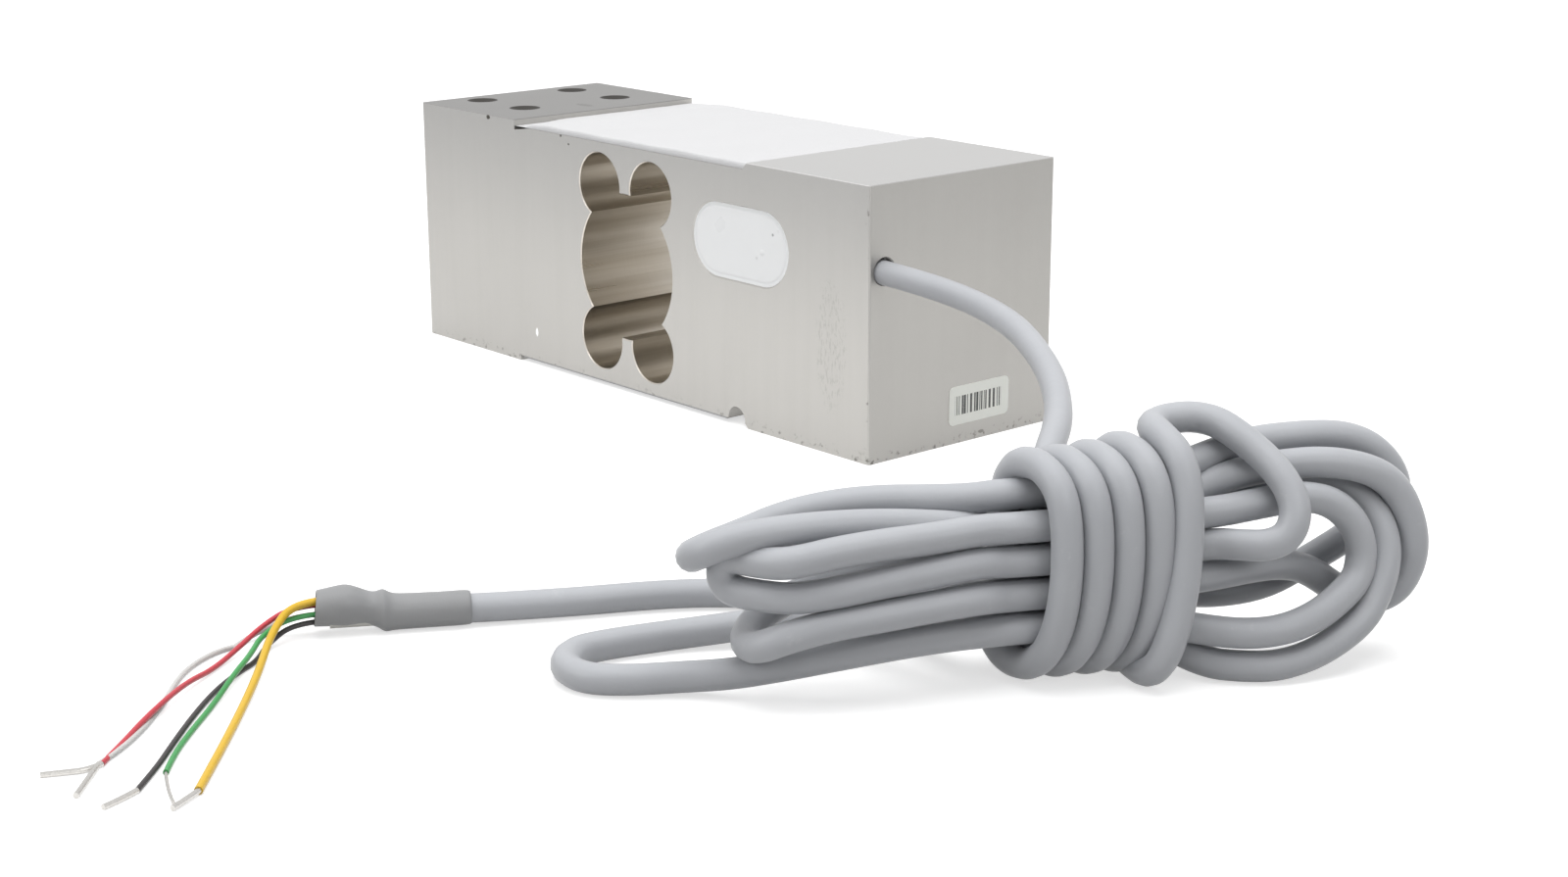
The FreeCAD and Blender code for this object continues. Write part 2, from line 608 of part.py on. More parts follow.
# Each lead's route: where it leaves the stripped bundle, sideways and up from the sleeve's axis,
# and then its points on the way to the bared end, which the tinned strands carry on.
LEADS = {
    "yellow": ("screen_diameter", (0.6, 1.9), [
        (112.8, -207.6, 3.6), (123.9, -216.6, 1.8), (133.1, -224.3, 1.1), (145.0, -234.4, 0.85),
        (157.6, -245.3, 0.85), (165.8, -252.5, 0.85)], [(167.2, -255.0, 0.8), (168.9, -259.0, 0.6)]),
    "green": ("lead_diameter", (1.2, -0.3), [
        (110.0, -208.2, 2.6), (116.2, -214.0, 2.0), (123.6, -221.9, 1.9), (132.0, -231.0, 0.6),
        (140.5, -240.0, 0.6), (148.2, -247.6, 0.6), (154.6, -252.6, 0.6)],
        [(161.2, -255.9, 0.5), (166.6, -257.6, 0.45)]),
    "black": ("lead_diameter", (0.6, -2.0), [
        (110.8, -207.6, 0.7), (117.3, -213.4, 0.6), (120.2, -219.2, 0.6), (126.0, -227.4, 0.6),
        (134.4, -236.4, 0.6), (143.8, -245.5, 0.6), (152.0, -253.1, 0.6), (158.3, -259.9, 0.6)],
        [(159.6, -263.3, 0.5), (160.6, -267.3, 0.45)]),
    "red": ("lead_diameter", (-0.9, 0.5), [
        (106.6, -206.0, 3.2), (110.4, -213.6, 1.4), (115.6, -222.0, 0.6), (120.4, -229.4, 1.6),
        (126.6, -237.2, 2.1), (132.4, -245.2, 1.5), (138.2, -252.6, 0.6), (143.8, -259.1, 0.6)],
        [(144.7, -261.9, 0.6), (142.9, -265.5, 0.5), (141.0, -269.1, 0.45)]),
    "white": ("lead_diameter", (-1.4, -1.4), [
        (104.2, -206.4, 1.0), (107.8, -213.6, 0.6), (112.0, -222.6, 0.6), (117.4, -230.2, 0.6),
        (124.6, -236.8, 0.6), (132.6, -243.0, 0.6), (138.4, -249.6, 0.6), (144.8, -257.0, 0.6),
        (150.9, -264.4, 0.6)], [(152.6, -267.0, 0.5), (153.6, -269.4, 0.45)]),
}


def make_leads():
    start = value("Sizes.bundle_end")
    mouth = value("Sizes.sleeve_length")
    tinned = value("Sizes.tinned_diameter")
    leads = []
    for colour, (thickness, (sideways, up), points, bare) in LEADS.items():
        route = [in_sleeve(start, sideways, up), in_sleeve(mouth + 4, sideways, up)] + points
        shape = tube("lead_" + colour, route, value("Sizes." + thickness))
        leads.append(new_feature("lead_" + colour, shape))
        strands = tube("tinned_end_" + colour, points[-1:] + bare, tinned)
        leads.append(new_feature("tinned_end_" + colour, strands.cut(shape)))
    return leads


# ------------------------------------------------------------------ build, check and write


def main():
    body = make_body()
    gauges = make_gauges()
    terminals = make_terminals()
    wires = make_gauge_wires()
    board = make_board()
    cores = make_cores()
    hank = make_hank()
    lead = make_lead(hank)
    doc.recompute()
    nodes = [body, hank, lead, make_low_loop(hank), make_tail(hank)]
    nodes += gauges + terminals + wires + board + cores
    nodes.append(make_potting([lead] + wires + board + cores))
    nodes.append(make_top_sealant(body, [gauges[0], gauges[2], terminals[0], wires[0]]))
    nodes.append(make_bottom_sealant([gauges[1], gauges[3], terminals[1], wires[1]]))
    nodes.append(make_bore_sealant())
    nodes.append(make_label())
    nodes += make_sleeve()
    nodes += make_leads()
    doc.recompute()
    for item in doc.Objects:
        if "Invalid" in item.State or "Error" in item.State:
            raise RuntimeError("%s failed: %s" % (item.Name, item.State))
    os.makedirs("parts", exist_ok=True)
    for node in nodes:
        shape = node.Shape
        if shape.isNull() or not shape.isValid() or len(shape.Solids) != 1:
            raise RuntimeError("%s: %d solids" % (node.Label, len(shape.Solids)))
        shape.exportStep("parts/%s.step" % node.Label)
    print(len(nodes), "parts written")


main()
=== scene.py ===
import bmesh
import bpy
import math

from mathutils import Matrix, Vector


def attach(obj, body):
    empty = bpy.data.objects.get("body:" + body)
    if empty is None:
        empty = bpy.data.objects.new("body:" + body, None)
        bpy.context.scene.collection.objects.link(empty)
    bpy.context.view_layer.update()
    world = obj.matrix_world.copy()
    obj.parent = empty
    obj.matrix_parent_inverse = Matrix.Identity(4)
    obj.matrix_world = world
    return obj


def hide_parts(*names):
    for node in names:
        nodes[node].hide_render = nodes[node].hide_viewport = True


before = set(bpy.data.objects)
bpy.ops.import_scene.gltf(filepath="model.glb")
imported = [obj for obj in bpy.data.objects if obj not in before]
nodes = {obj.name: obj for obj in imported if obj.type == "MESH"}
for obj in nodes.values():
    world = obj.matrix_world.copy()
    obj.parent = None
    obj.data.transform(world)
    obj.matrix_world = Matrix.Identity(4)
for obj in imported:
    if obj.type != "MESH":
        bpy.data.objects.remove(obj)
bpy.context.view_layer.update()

# ---------------------------------------------------------------- machined bar
# The bar is sawn from aluminium plate, milled on all faces and vibro-polished to a fine satin.
# Its flexure bores are reamed and stay darker, with tool marks round their walls, and eight M8
# holes take the bolts: four down into its far foot, four up into the cable end.

HOLES_MIDDLE = 0.0768  # from the bar's middle to the middle of each four holes
HOLE_ALONG = 0.0106
HOLE_ACROSS = 0.0163
HOLE_MOUTH = 0.00455
SATIN = (0.455, 0.444, 0.424), (0.505, 0.494, 0.472)
REAMED = (0.52, 0.48, 0.42), (0.66, 0.625, 0.57)


class Wire:
    """A shader socket that Python's operators work on; each one adds a Math node."""

    def __init__(self, shading, socket):
        self.shading = shading
        self.socket = socket

    def maths(self, operation, first, second=0.0):
        return self.shading.node("Math", {"operation": operation}, {0: first, 1: second})

    def __add__(self, other):
        return self.maths("ADD", self, other)

    __radd__ = __add__

    def __mul__(self, other):
        return self.maths("MULTIPLY", self, other)

    __rmul__ = __mul__

    def __sub__(self, other):
        return self.maths("SUBTRACT", self, other)

    def __rsub__(self, other):
        return self.maths("SUBTRACT", other, self)

    def __truediv__(self, other):
        return self.maths("DIVIDE", self, other)

    def __rtruediv__(self, other):
        return self.maths("DIVIDE", other, self)

    def __pow__(self, other):
        return self.maths("POWER", self, other)

    def __rpow__(self, other):
        return self.maths("POWER", other, self)

    def __abs__(self):
        return self.maths("ABSOLUTE", self)

    def __gt__(self, other):
        return self.maths("GREATER_THAN", self, other)

    def __lt__(self, other):
        return self.maths("LESS_THAN", self, other)

    def at_least(self, other):
        return self.maths("MAXIMUM", self, other)

    def ease(self, low, high):
        """0 below low, 1 above high and a smooth step between them."""
        return self.shading.node("MapRange", {"interpolation_type": "SMOOTHSTEP"},
                                 {"Value": self, "From Min": low, "From Max": high})


class Shading:
    """The nodes of one material or of the world."""

    def __init__(self, tree):
        self.tree = tree

    def node(self, kind, settings=None, inputs=None, output=0):
        """Adds a node: its settings first, then the values or links of its sockets."""
        made = self.tree.nodes.new("ShaderNode" + kind)
        for name, setting in (settings or {}).items():
            setattr(made, name, setting)
        for name, given in (inputs or {}).items():
            self.feed(self.socket(made.inputs, name), given)
        return Wire(self, self.socket(made.outputs, output))

    def socket(self, sockets, name):
        if isinstance(name, int):
            return sockets[name]
        return [one for one in sockets if name in (one.identifier, one.name) and one.enabled][0]

    def feed(self, socket, given):
        if isinstance(given, Wire):
            self.tree.links.new(given.socket, socket)
        elif socket.type == "RGBA":
            socket.default_value = (*given, 1.0)
        else:
            socket.default_value = given

    def rays_to_eye(self):
        """1 for what the eye sees straight on, in a mirror or through glass."""
        camera, glossy, through = (self.node("LightPath", output="Is %s Ray" % kind)
                                   for kind in ("Camera", "Glossy", "Transmission"))
        return camera.at_least(glossy).at_least(through)


class Finish(Shading):
    """A procedural material round one Principled shader, whose constants are set at once."""

    def __init__(self, name, **constants):
        self.material = bpy.data.materials.new(name)
        self.material.use_nodes = True
        super().__init__(self.material.node_tree)
        self.shader = self.tree.nodes["Principled BSDF"]
        for socket, number in constants.items():
            self.shader.inputs[socket.replace("_", " ")].default_value = number

    def place(self, stretch=(1.0, 1.0, 1.0)):
        """The point of the surface in metres, stretched along each axis."""
        point = self.node("TexCoord", output="Object")
        return self.node("VectorMath", {"operation": "MULTIPLY"}, {0: point, 1: stretch})

    def axes(self):
        """The place along the bar, across it and above its foot."""
        place = self.place()
        return [self.node("SeparateXYZ", inputs={"Vector": place}, output=axis)
                for axis in range(3)]

    def noise(self, scale, stretch=(1.0, 1.0, 1.0), detail=3.0, roughness=0.55):
        return self.node("TexNoise", inputs={"Vector": self.place(stretch), "Scale": scale,
                                             "Detail": detail, "Roughness": roughness})

    def blend(self, factor, first, second):
        """A colour between two colours."""
        return self.node("Mix", {"data_type": "RGBA"},
                         {"Factor_Float": factor, "A_Color": first, "B_Color": second},
                         "Result_Color")

    def finish(self, colour, roughness, height, bump, depth):
        """Links what varies over the surface to the shader's sockets."""
        normal = self.node("Bump", inputs={"Strength": bump, "Distance": depth, "Height": height})
        for name, wire in (("Base Color", colour), ("Roughness", roughness), ("Normal", normal)):
            self.feed(self.shader.inputs[name], wire)
        return self.material


def aluminium_finish():
    """Satin faces with painted light: painted shade high on the front and over the end face, one
    end of the top painted lighter and the other darker; dents and dirt at edges; reamed bores;
    holes in painted shade.
    """
    alloy = Finish("machined_aluminium", Metallic=1.0)
    x, y, z = alloy.axes()
    on_front, on_end, on_top = y < -0.0319, x > 0.0954, z > 0.0688
    in_bore = (abs(y) < 0.03195) * (abs(x) < 0.0215) * (z > 0.003) * (z < 0.066)
    ragged = alloy.noise(1500, detail=2)

    def mark(across, up, width, height):
        """1 inside an oval mark on a face and 0 outside it, with a ragged edge."""
        side = (across ** 2.0) / width ** 2 + (up ** 2.0) / height ** 2
        return 1 - (side + ragged * 1.2 - 0.6).ease(0.6, 1.1)

    cloud = alloy.noise(22, detail=4)
    grain = alloy.noise(2600, stretch=(1.0, 1.0, 0.35), detail=3)
    streak = alloy.noise(330, stretch=(1.0, 1.0, 0.06), detail=3)
    satin = alloy.blend(cloud, *SATIN)
    satin = alloy.blend(streak.ease(0.3, 0.75) * 0.13, satin, (0.41, 0.398, 0.375))
    # painted shade: the front face made greyer towards its top
    satin = alloy.blend(on_front * z.ease(0.024, 0.085) * 0.6, satin, (0.27, 0.27, 0.272))
    # painted light: the top face made lighter over the cable end, and painted shade darker over the
    # far foot
    satin = alloy.blend(on_top * (x > 0.0) * 0.9, satin, (0.64, 0.636, 0.63))
    satin = alloy.blend(on_top * (x < 0.0) * 0.9, satin, (0.31, 0.305, 0.30))
    # painted shade: the whole end face made darker in cloudy patches, then darker again towards its
    # top
    satin = alloy.blend(on_end * (0.25 + 0.3 * cloud), satin, (0.30, 0.292, 0.278))
    satin = alloy.blend(on_end * z.ease(0.035, 0.075) * 0.22, satin, (0.20, 0.198, 0.195))

    scuff = on_front * mark(x - 0.0818, z - 0.0275, 0.0058, 0.0170)
    scuff = scuff * alloy.noise(1500, stretch=(1.0, 1.0, 0.3), detail=3, roughness=0.6).ease(
        0.50, 0.62)
    satin = alloy.blend(scuff * 0.24, satin, (0.20, 0.195, 0.18))
    foot = (1 - z.ease(0.0006, 0.0035)) * alloy.noise(700, detail=4).ease(0.56, 0.70)
    corner = on_front * x.ease(0.0936, 0.0953) * alloy.noise(520, detail=4).ease(0.60, 0.70)
    dents = (mark(x + 0.0621, z - 0.0683, 0.0010, 0.0006)
             + mark(x + 0.0278, z - 0.0670, 0.0004, 0.0005)
             + mark(x + 0.0243, z - 0.0650, 0.0004, 0.0003))
    smudge = on_end * 0.5 * mark(y - 0.0072, z - 0.0016, 0.0011, 0.0005)
    dark = foot * 0.7 + corner * 0.6 + on_front * dents + smudge
    rubbed = on_top * mark(x + 0.0591, y + 0.0002, 0.0038, 0.0016)
    satin = alloy.blend(dark + rubbed * 0.28, satin, (0.07, 0.065, 0.055))
    nick = on_front * mark(x + 0.0414, z - 0.0096, 0.0006, 0.0013)
    satin = alloy.blend(nick, satin, (0.90, 0.90, 0.90))

    ream = alloy.noise(260, stretch=(1.0, 0.02, 1.0), detail=4, roughness=0.7)
    rings = alloy.noise(1400, stretch=(0.02, 1.0, 0.02), detail=2)
    colour = alloy.blend(in_bore, satin, alloy.blend(ream.ease(0.25, 0.75), *REAMED))
    # painted shade: the walls of the eight mounting holes made near black, for the shade inside
    # them
    off_axis = (abs(abs(x) - HOLES_MIDDLE) - HOLE_ALONG) ** 2.0 + (abs(y) - HOLE_ACROSS) ** 2.0
    hole_painted_shade = (off_axis < HOLE_MOUTH ** 2) * (abs(z - 0.0345) < 0.03445)
    colour = alloy.blend(hole_painted_shade, colour, (0.10, 0.095, 0.09))
    dull = 0.40 + 0.08 * cloud + 0.06 * grain
    roughness = dull * (1 - in_bore) + in_bore * (0.24 + 0.10 * ream)
    height = (grain * 0.5 + streak * 0.08 - dark * 0.6) * (1 - in_bore) + in_bore * (
        ream * 0.8 + rings * 0.35)
    return alloy.finish(colour, roughness, height, bump=0.10, depth=0.0004)


def refinish(node_names, material):
    """Gives solids that are kept as they are their material."""
    for name in node_names:
        node = nodes[name]
        for slot in node.material_slots:
            slot.material = material
        if not node.material_slots:
            node.data.materials.append(material)


refinish(["load_cell_body"], aluminium_finish())

# ---------------------------------------------------------------- threads
# The eight mounting holes are tapped M8. Each keeps the ridge of its thread below the countersink,
# cut straight into the aluminium and coloured near black as painted shade inside the hole.

THREAD_PITCH = 0.00125
THREAD_TURNS = 12
THREAD_STEPS = 36  # along one turn
FIRST_TURN = 0.0013  # below the face that the hole opens in
BAR_HEIGHT = 0.069
DRILL_RADIUS = 0.0034
RIDGE_HEIGHT = 0.00048
RIDGE_HALF_WIDTH = 0.0005
RIDGE_ROOT = 0.00345  # just inside the drilled wall


def helix(shape, middle_x, middle_y, start, inward):
    """One hole's thread: a ridge of three points that climbs round the wall."""
    before = None
    for step in range(THREAD_TURNS * THREAD_STEPS + 1):
        angle = 2 * math.pi * step / THREAD_STEPS
        depth = start + inward * THREAD_PITCH * step / THREAD_STEPS
        crest = DRILL_RADIUS - RIDGE_HEIGHT * min(1.0, step / 12)
        row = [shape.verts.new((middle_x + reach * math.cos(angle),
                                middle_y + reach * math.sin(angle), depth + rise))
               for reach, rise in ((RIDGE_ROOT, -RIDGE_HALF_WIDTH), (crest, 0.0),
                                   (RIDGE_ROOT, RIDGE_HALF_WIDTH))]
        for side in range(3 if before else 0):
            after = (side + 1) % 3
            shape.faces.new((before[side], before[after], row[after], row[side]))
        before = row


def made_from(name, shape, material, smooth):
    """Turns a built shape into an object with its faces outward."""
    bmesh.ops.recalc_face_normals(shape, faces=shape.faces)
    data = bpy.data.meshes.new(name)
    shape.to_mesh(data)
    shape.free()
    if smooth:
        data.shade_smooth()
    data.materials.append(material)
    made = bpy.data.objects.new(name, data)
    bpy.context.scene.collection.objects.link(made)
    return made


def thread_finish():
    """Cut flanks coloured near black as painted shade, mottled, with uneven shine and relief."""
    cut = Finish("cut_thread", Metallic=1.0)
    shade_mottle = cut.noise(600, detail=4)
    # painted shade: both colours of the thread are near black, for the shade inside the hole
    colour = cut.blend(shade_mottle, (0.03, 0.028, 0.026), (0.16, 0.155, 0.15))
    return cut.finish(colour, 0.28 + 0.2 * shade_mottle, shade_mottle, bump=0.2, depth=0.0002)


ridges = bmesh.new()
for middle, start, inward in ((-HOLES_MIDDLE, BAR_HEIGHT - FIRST_TURN, -1),
                              (HOLES_MIDDLE, FIRST_TURN, 1)):
    for along in (-HOLE_ALONG, HOLE_ALONG):
        for across in (-HOLE_ACROSS, HOLE_ACROSS):
            helix(ridges, middle + along, across, start, inward)
threads = made_from("threads", ridges, thread_finish(), smooth=False)
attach(threads, "root")

# ---------------------------------------------------------------- gauges and trimming board
# Four foil gauges are bonded over the webs and wired with enamelled wire to copper solder pads.
# In the side pocket sits the trimming board with two chip resistors, where the cable's four
# cores are soldered on; under the potting they keep the plain colours they come with.


def speckled(name, first, second, scale, roughness, **constants):
    """A two-tone finish for the small parts: cloudy colour, uneven shine and a faint relief."""
    part = Finish(name, **constants)
    cloud = part.noise(scale, detail=4)
    return part.finish(part.blend(cloud, first, second), roughness + 0.15 * cloud, cloud,
                       bump=0.1, depth=0.0002)


def named(start):
    return [name for name in nodes if name.startswith(start)]


refinish(named("strain_gauge"),
         speckled("gauge_foil", (0.55, 0.30, 0.12), (0.75, 0.52, 0.22), 900, 0.3))
refinish(named("gauge_terminals"),
         speckled("copper_pads", (0.60, 0.28, 0.14), (0.80, 0.50, 0.32), 700, 0.25, Metallic=0.9))
refinish(named("gauge_wires"),
         speckled("enamelled_wire", (0.35, 0.10, 0.04), (0.50, 0.18, 0.07), 800, 0.2))
refinish(["trimming_board"],
         speckled("circuit_board", (0.01, 0.12, 0.04), (0.02, 0.18, 0.07), 500, 0.35))
refinish(named("trimming_resistor"),
         speckled("resistor_body", (0.02, 0.02, 0.022), (0.05, 0.05, 0.055), 900, 0.4))

# ---------------------------------------------------------------- sealants and potting
# White silicone is poured over the gauges in the top relief and struck level by hand, and the same
# silicone closes the lower relief and the cable's bore. A harder white compound fills the pocket
# over the trimming board.

RELIEF_FLOOR = 67.2  # millimetres from here on in this section
POURED_X = -49.45, 49.95
POURED_Y = -31.65, 31.65
EDGE_STEPS = 0, 0.1, 0.25, 0.45, 0.7, 1.0, 1.4, 1.9
EDGE_BAND = 2.5
FULL_DEPTH = 1.5
FOOT_DEPTH = 0.35  # where the silicone meets the step of the far foot
FOOT_RISE = 16.0
ROUNDING = 0.9
POCKET_MIDDLE = 0.0473, 0.0479
POCKET_STRAIGHT = 0.00885


def silicone_finish():
    """Milky rubber with soft waves from the trowel and fine pores."""
    rubber = Finish("white_silicone", Specular_IOR_Level=0.35, Subsurface_Weight=0.0)
    cloud = rubber.noise(45, detail=4)
    wave = rubber.noise(28, detail=2)
    pore = rubber.noise(1200, detail=2)
    colour = rubber.blend(cloud, (0.515, 0.515, 0.522), (0.545, 0.545, 0.552))
    return rubber.finish(colour, 0.42 + 0.14 * cloud, wave * 0.8 + pore * 0.2,
                         bump=0.25, depth=0.0012)


def potting_finish():
    """Smooth resin with a faint rim at the pocket's wall, a drip and two specks of dirt."""
    resin = Finish("white_potting", Specular_IOR_Level=0.5)
    x, _, z = resin.axes()

    def spot(across, up, inner, outer):
        return 1 - (((x - across) ** 2.0 + (z - up) ** 2.0) ** 0.5).ease(inner, outer)

    cloud = resin.noise(70, detail=3)
    wave = resin.noise(50, detail=2)
    colour = resin.blend(cloud, (0.86, 0.87, 0.875), (0.91, 0.92, 0.925))
    past = (abs(x - POCKET_MIDDLE[0]) - POCKET_STRAIGHT).at_least(0.0)
    out = (past ** 2.0 + (abs(z - POCKET_MIDDLE[1])) ** 2.0) ** 0.5
    rim = out.ease(0.0082, 0.0088) * (1 - out.ease(0.0089, 0.0094))
    colour = resin.blend(rim * 0.12, colour, (0.50, 0.52, 0.55))
    specks = spot(0.0598, 0.0520, 0.0002, 0.0005) * 0.75 + spot(
        0.0536, 0.0452, 0.0002, 0.0006) * 0.2
    colour = resin.blend(specks, colour, (0.20, 0.20, 0.21))
    drip = spot(0.0557, 0.0469, 0.0001, 0.0011)
    return resin.finish(colour, 0.22 + 0.14 * cloud, wave * 0.5 - rim * 0.25 + drip * 0.8,
                        bump=0.3, depth=0.001)


def spaced(low, high, steps):
    """Places from low to high, close together near both edges."""
    inner = high - low - 2 * EDGE_BAND
    return ([low + part for part in EDGE_STEPS]
            + [low + EDGE_BAND + inner * step / steps for step in range(steps + 1)]
            + [high - part for part in EDGE_STEPS[::-1]])


def silicone_height(x, y):
    """Its top: rounded at the edge, lower at the far foot, and none in the front left corner."""
    left, front = x - POURED_X[0], y - POURED_Y[0]
    corner = (left * 18.0 + front * 5.0 - 90.0) / 18.7
    corner += 0.5 * math.sin(x * 1.9 + y * 0.8) + 0.3 * math.sin(y * 1.7)
    inside = min(left, POURED_X[1] - x, front, POURED_Y[1] - y, corner)
    fill = FOOT_DEPTH + (FULL_DEPTH - FOOT_DEPTH) * min(1.0, left / FOOT_RISE) ** 0.8
    full = 1 - (1 - min(1.0, max(0.0, inside / ROUNDING))) ** 2.5
    wave = 0.07 * math.sin(x * 0.31 + 1.3 * math.sin(y * 0.17))
    wave += 0.05 * math.sin(y * 0.42 + x * 0.1)
    return RELIEF_FLOOR + 0.02 + (fill + wave * min(1.0, fill)) * full


def silicone_sheet():
    """The poured silicone as a closed sheet on the relief's floor."""
    shape = bmesh.new()
    xs, ys = spaced(*POURED_X, 120), spaced(*POURED_Y, 80)
    rows = [[shape.verts.new((x / 1000, y / 1000, silicone_height(x, y) / 1000)) for y in ys]
            for x in xs]
    for first, second in zip(rows, rows[1:]):
        for step in range(len(ys) - 1):
            shape.faces.new((first[step], second[step], second[step + 1], first[step + 1]))
    low = [shape.verts.new((x / 1000, y / 1000, RELIEF_FLOOR / 1000))
           for x, y in ((xs[0], ys[0]), (xs[-1], ys[0]), (xs[-1], ys[-1]), (xs[0], ys[-1]))]
    rims = ([row[0] for row in rows], rows[-1], [row[-1] for row in rows[::-1]], rows[0][::-1])
    for side, rim in enumerate(rims):
        shape.faces.new([low[side]] + rim + [low[(side + 1) % 4]])
    shape.faces.new(low[::-1])
    return shape


white_silicone = silicone_finish()
poured = made_from("poured_silicone", silicone_sheet(), white_silicone, smooth=True)
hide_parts("top_sealant")
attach(poured, "root")
refinish(["bottom_sealant", "bore_sealant"], white_silicone)
refinish(["pocket_potting"], potting_finish())

# ---------------------------------------------------------------- label
# A small paper label with rounded corners, stuck near the foot of the end face. It carries a
# plain row of printed bars.

BARS_ACROSS = -0.0023, 0.0141
BARS_UP = 0.0073, 0.0122


def label_finish():
    """Off-white paper with fine fibres and one row of black bars of uneven width."""
    paper = Finish("label_paper", Specular_IOR_Level=0.4)
    fibre = paper.noise(1500, detail=5)
    cloud = paper.noise(120, detail=2)
    colour = paper.blend(cloud, (0.87, 0.885, 0.83), (0.94, 0.95, 0.90))
    _, y, z = paper.axes()
    bars = paper.node("TexNoise", {"noise_dimensions": "1D"},
                      {"W": y * 1350, "Scale": 1.0, "Detail": 0.0})
    printed = (bars > 0.5) * (y > BARS_ACROSS[0]) * (y < BARS_ACROSS[1])
    printed = printed * (z > BARS_UP[0]) * (z < BARS_UP[1])
    colour = paper.blend(printed * 0.92, colour, (0.02, 0.02, 0.022))
    return paper.finish(colour, 0.45 + 0.15 * fibre, fibre, bump=0.12, depth=0.0002)


refinish(["end_label"], label_finish())

# ---------------------------------------------------------------- cable
# The load cell's own cable, six millimetres over a grey PVC jacket. It is sealed into the bar's
# end face, folded by hand into a flat hank and bound with five turns of itself.

CABLE_DIAMETER = 0.006
HANK_MIDDLE = 224.6, -102.0
HANK_TURN = math.radians(62.0)
SLEEVE_START = 125.8, -169.6, 4.2
SLEEVE_TURN = math.radians(-120.3)
COLUMNS = {"front": 3.4, "back": -3.4, "top": -3.0}
BAND_START = -10.3
BAND_PITCH = 5.95
BAND_LEAN = 4.3  # along the hank, from a turn's back to its front
BAND_HALF_WIDTH = 10.9
BAND_MIDDLE_UP = 23.0
BAND_ABOVE, BAND_BELOW = 19.7, 19.8
SAGGING_TURN = 4.19
LYING_ON_FLOOR = 3.1


def in_hank(along, front, up):
    """Millimetres along the hank, towards its front and up from the floor, as a point in metres."""
    x = HANK_MIDDLE[0] + along * math.cos(HANK_TURN) + front * math.sin(HANK_TURN)
    y = HANK_MIDDLE[1] + along * math.sin(HANK_TURN) - front * math.cos(HANK_TURN)
    return (x / 1000, y / 1000, up / 1000)


def in_sleeve(along, sideways=0.0, up=0.0):
    """Millimetres along the sleeve's axis, to its left and up from it, as a point in metres."""
    x = SLEEVE_START[0] + along * math.cos(SLEEVE_TURN) - sideways * math.sin(SLEEVE_TURN)
    y = SLEEVE_START[1] + along * math.sin(SLEEVE_TURN) + sideways * math.cos(SLEEVE_TURN)
    return (x / 1000, y / 1000, (SLEEVE_START[2] + up) / 1000)


def wrapped_band(last_step, points_each):
    """The band: turns side by side round the bundle, climbing its front and going down its back.
    The turns grow taller one by one, and the last one sags forward on the floor."""
    points = []
    for step in range(last_step + 1):
        turn = step / points_each
        angle = math.radians(-120 + 360 * turn)
        across, rise = math.cos(angle), math.sin(angle)
        sag = math.exp(-((turn - SAGGING_TURN) / 0.14) ** 2)
        square = 0.7 if rise > 0 else 0.9 - 0.1 * max(0.0, turn - 2.6)
        height = BAND_ABOVE + 0.0415 * turn ** 3 if rise > 0 else BAND_BELOW
        up = BAND_MIDDLE_UP - 2.0 * sag + height * math.copysign(abs(rise) ** square, rise)
        front = BAND_HALF_WIDTH * math.copysign(abs(across) ** square, across) + 5.0 * sag
        along = BAND_START + BAND_PITCH * turn + BAND_LEAN * across - 4.0 * sag
        points.append(in_hank(along, front, max(LYING_ON_FLOOR, up)))
    return points


def strand(column, up, leftwards):
    """One straight pass through the band, in its front or back column or on top of both."""
    passes = [in_hank(along, COLUMNS[column], up) for along in (13, 0, -13)]
    return passes if leftwards else passes[::-1]


def bent(*points):
    """Points of a bend outside the band."""
    return [in_hank(*point) for point in points]


# Out of the bar's end face and over to the hank, then down behind it.
route = [(0.068, -0.0271, 0.0477), (0.1015, -0.0271, 0.0477), (0.137, -0.0295, 0.045),
         (0.165, -0.044, 0.0405), (0.187, -0.0635, 0.037), (0.200, -0.082, 0.034)]
route += bent((-1, -18, 27), (-11, -15.5, 12.5))
# Five turns round the bundle.
route += wrapped_band(55, 12)
# A free loop stands off the last turn and folds back into the band.
route += bent((17.2, -4.5, 46.7), (20, -7.6, 46.9), (24.6, -8, 47.3), (28, -7.2, 47.2),
              (31, -5, 46.6), (33.5, -1.5, 44.9), (36.4, 2, 42.3), (38.6, 5.5, 39.6),
              (40.2, 8.5, 36.4), (40.6, 10.8, 32.6), (38.9, 11.8, 28.6), (35.4, 10.6, 26.6),
              (31, 7.7, 26.2), (26.9, 5, 26.0), (20, 3.8, 25.2))
route += strand("front", 24.8, True)
# A tight fold on the left.
route += bent((-19, 5, 25.8), (-29, 6, 24.8), (-38, 7, 24.0), (-47.5, 7.5, 22.9),
              (-54.5, 5.8, 21.8), (-60.5, 2.2, 21.9), (-64.2, -1.2, 21.9), (-65.6, -2.5, 23.8),
              (-65.6, -2.5, 26.6), (-64.2, -1.2, 28.5), (-60.5, 2.4, 28.4), (-56.5, 6, 28.7),
              (-52.5, 7.3, 29.5), (-47.4, 7.5, 30.5), (-38, 6.5, 31.1), (-28.4, 5, 31.0),
              (-18.7, 4, 31.7))
route += strand("front", 31.4, False)
# The innermost fold on the right.
route += bent((20, 3.4, 31.5), (28, 3.4, 31.6), (37, 3, 32.6), (44, 3, 33.4), (49.5, 3.3, 32.6),
              (53.7, 3.8, 30.0), (56.5, 4.4, 26.0), (57.3, 5, 21.4), (55.8, 6.5, 17.1),
              (51.6, 8.5, 14.5), (46.3, 10.5, 12), (38.8, 12.5, 10.4), (31.5, 11, 9.6),
              (24, 7.5, 10))
route += strand("front", 11.6, True)
